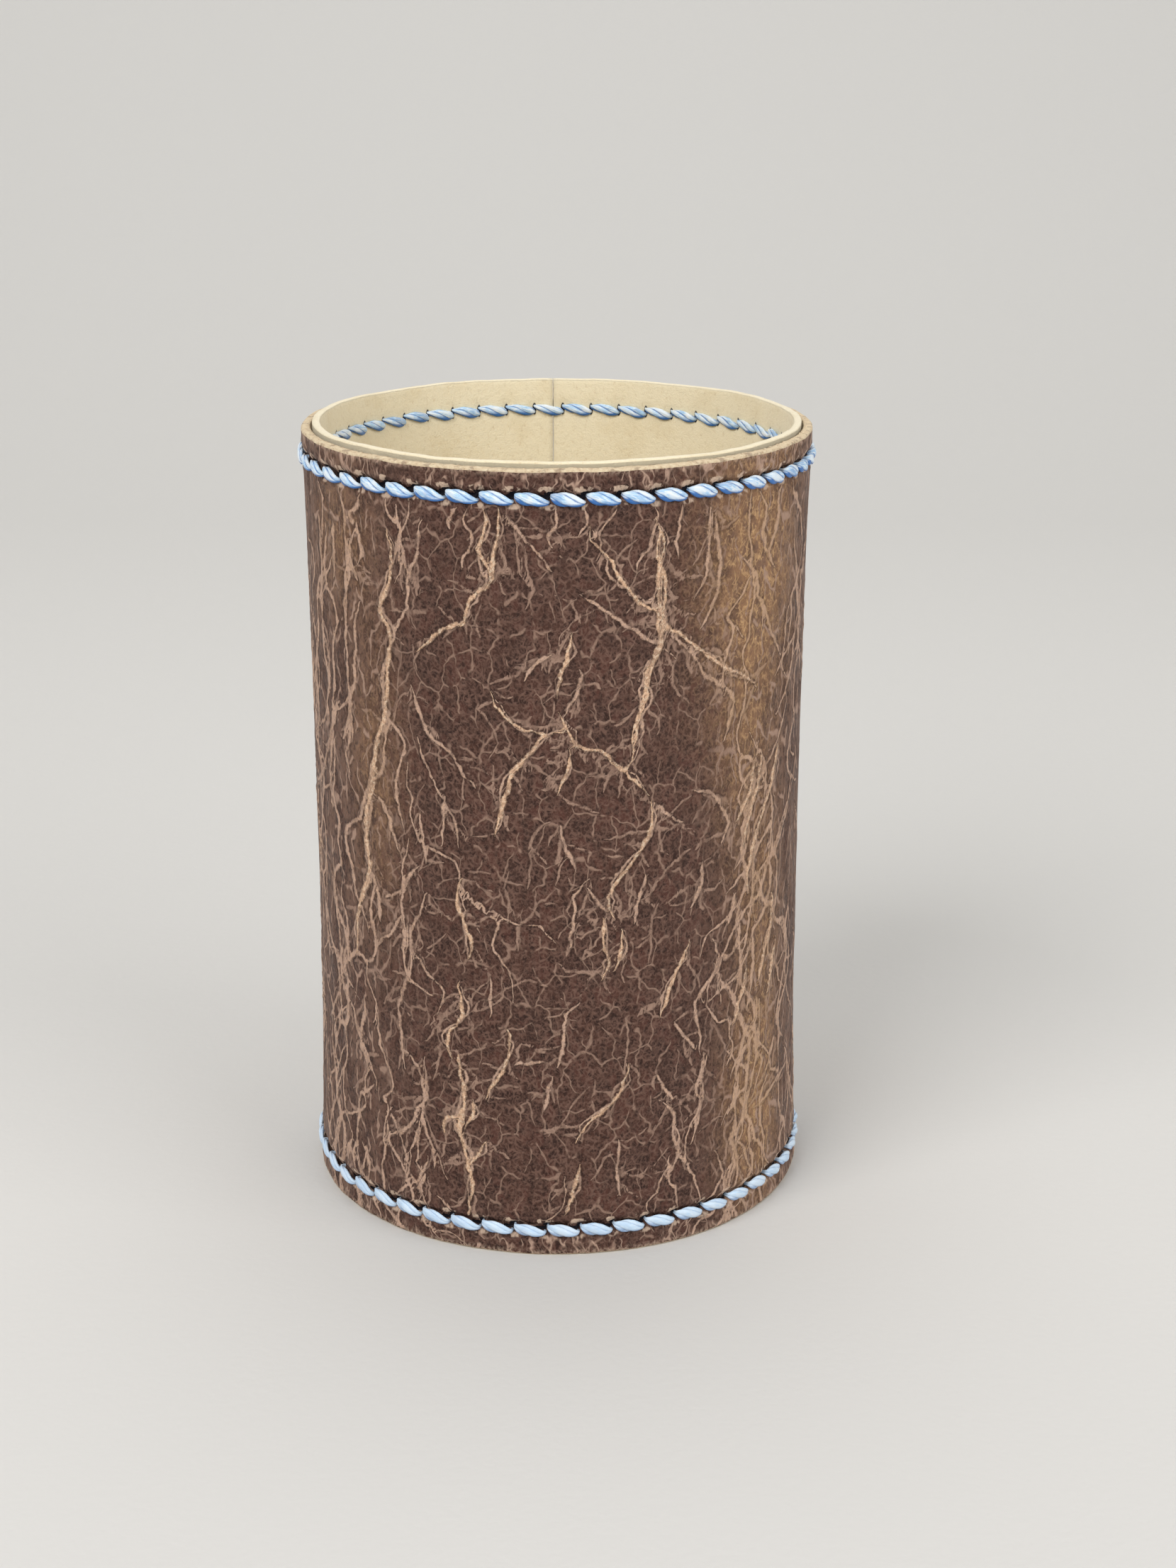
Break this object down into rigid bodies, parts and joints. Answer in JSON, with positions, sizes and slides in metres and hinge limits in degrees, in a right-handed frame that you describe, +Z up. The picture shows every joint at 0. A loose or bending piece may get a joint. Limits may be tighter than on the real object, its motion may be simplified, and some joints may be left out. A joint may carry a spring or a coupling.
{
  "type": "can cooler sleeve",
  "caption": "Open leather sleeve that slides over a slim drinks can, cream lined, saddle stitched round both edges and laced shut at the back.",
  "frame": {"origin": "centre of the sleeve's lower edge, on the surface that it stands on", "axes": "+Z up along the sleeve's axis, -Y towards the front, +X to the right seen from the front; the butt joint is at the back"},
  "size_m": [0.0654, 0.0655, 0.0991],
  "materials": {
    "leather": "distressed pull-up, creased, satin",
    "lining": "natural, matt",
    "thread": "waxed, stranded"
  },
  "bodies": {
    "root": {"leather_wrap": "leather", "lining": "lining", "top_stitching": "thread", "bottom_stitching": "thread", "seam_lacing": "thread"}
  },
  "joints": []
}
